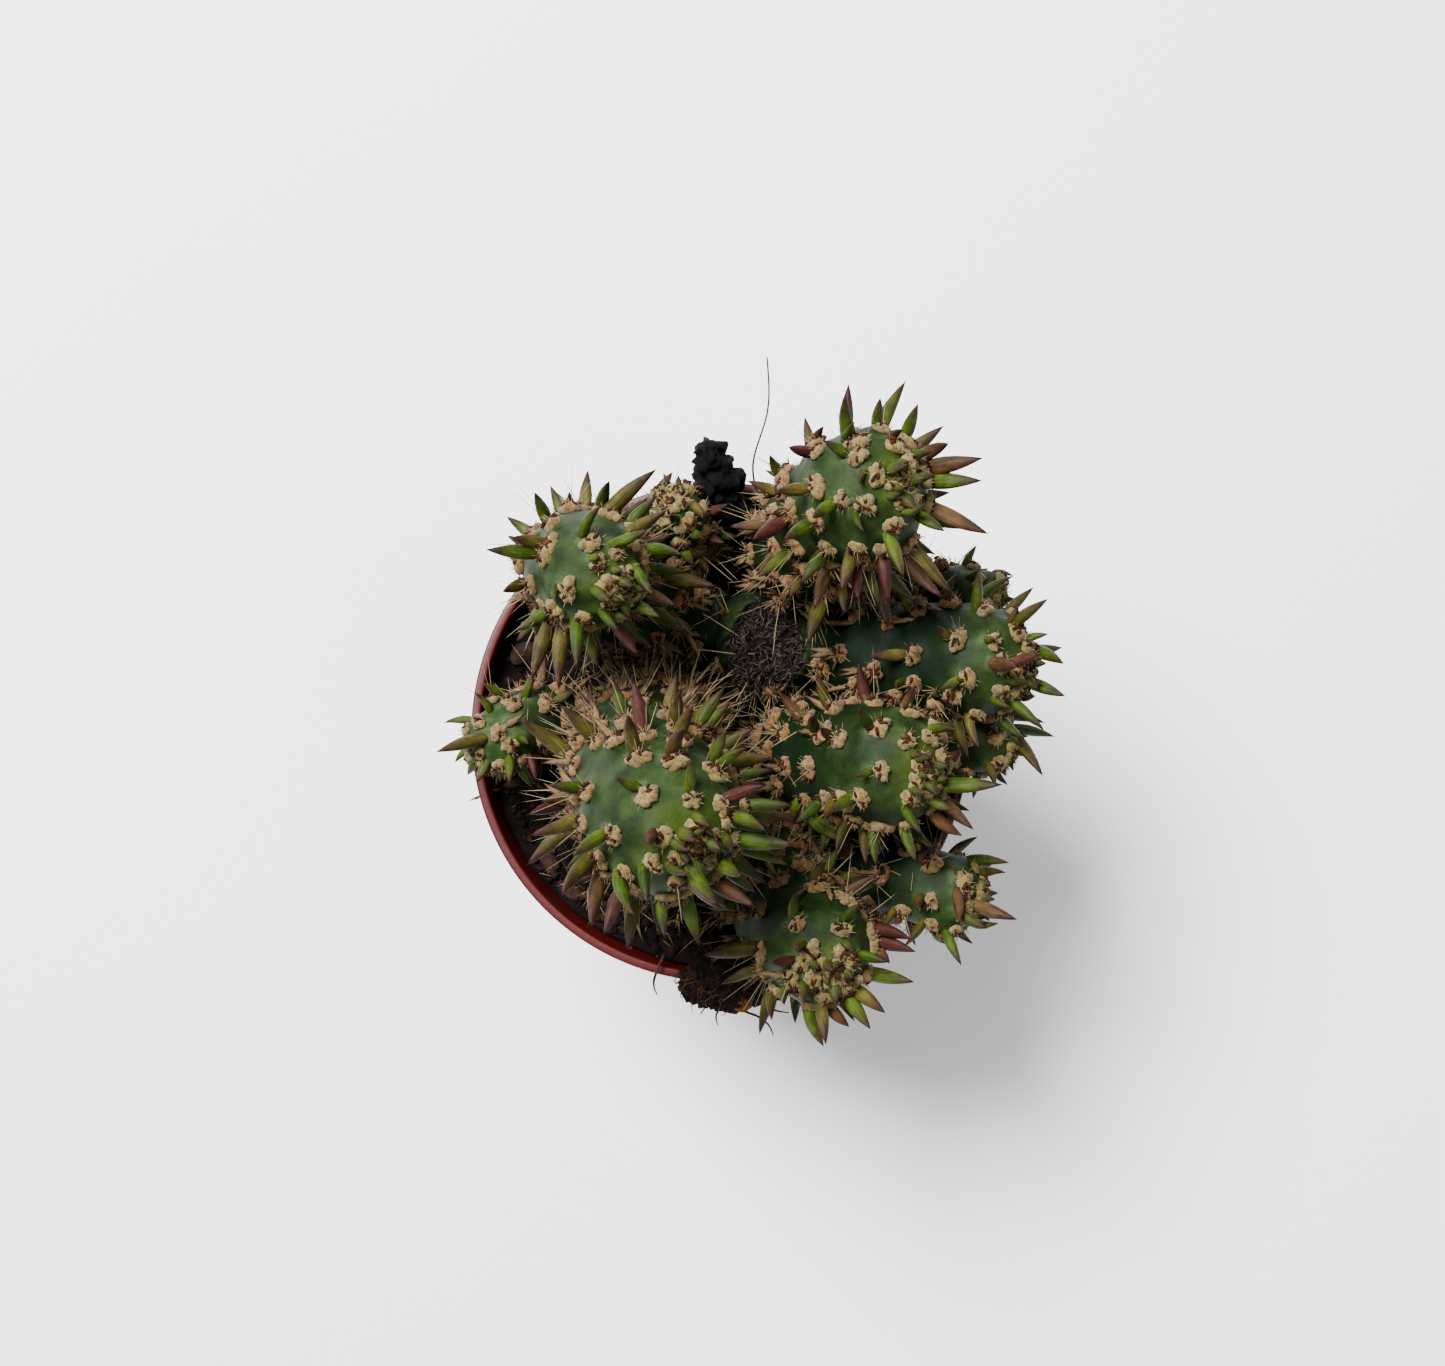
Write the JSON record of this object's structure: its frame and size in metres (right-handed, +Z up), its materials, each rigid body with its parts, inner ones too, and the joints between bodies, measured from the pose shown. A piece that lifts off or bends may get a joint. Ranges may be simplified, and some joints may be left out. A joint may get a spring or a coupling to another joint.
{
  "type": "potted cactus",
  "caption": "Potted Eve's needle cactus: plump green shoots with awl-shaped leaves and long pale spines round a cut-back stem, in a round plastic nursery pot of dark peat.",
  "frame": {"origin": "centre of the pot's foot, on the surface that it stands on", "axes": "+Z up; +Y towards the side where the dead shoot leans over the rim; the shoots lean mostly towards +X and -Y"},
  "size_m": [0.1025, 0.1104, 0.1336],
  "materials": {
    "pot_plastic": "satin brick-red moulded plastic",
    "skin": "smooth waxy green skin with a faint bluish bloom",
    "old_skin": "dull, corky, grey-green to brown",
    "dead_shoot": "matt, rough, blackened",
    "wood_chip": "raw split wood",
    "grit": "matt, rough",
    "dry_fibre": "dry plant fibre",
    "peat": "matt, fibrous, near black"
  },
  "bodies": {
    "root": {"pot": "pot_plastic", "shoot_front": "skin", "shoot_left": "skin", "shoot_back_right": "skin", "shoot_right": "skin", "shoot_front_right": "skin", "shoot_fore": "skin", "offset_fore_right": "skin", "offset_left": "skin", "offset_back": "skin", "offset_back_right": "skin", "offset_right": "skin", "main_stem": "old_skin", "wood_chip": "wood_chip", "grit_left": "grit", "grit_front_left": "grit", "grit_front": "grit", "dead_stub": "dead_shoot", "dry_fibre": "dry_fibre", "soil": "peat"}
  },
  "joints": []
}
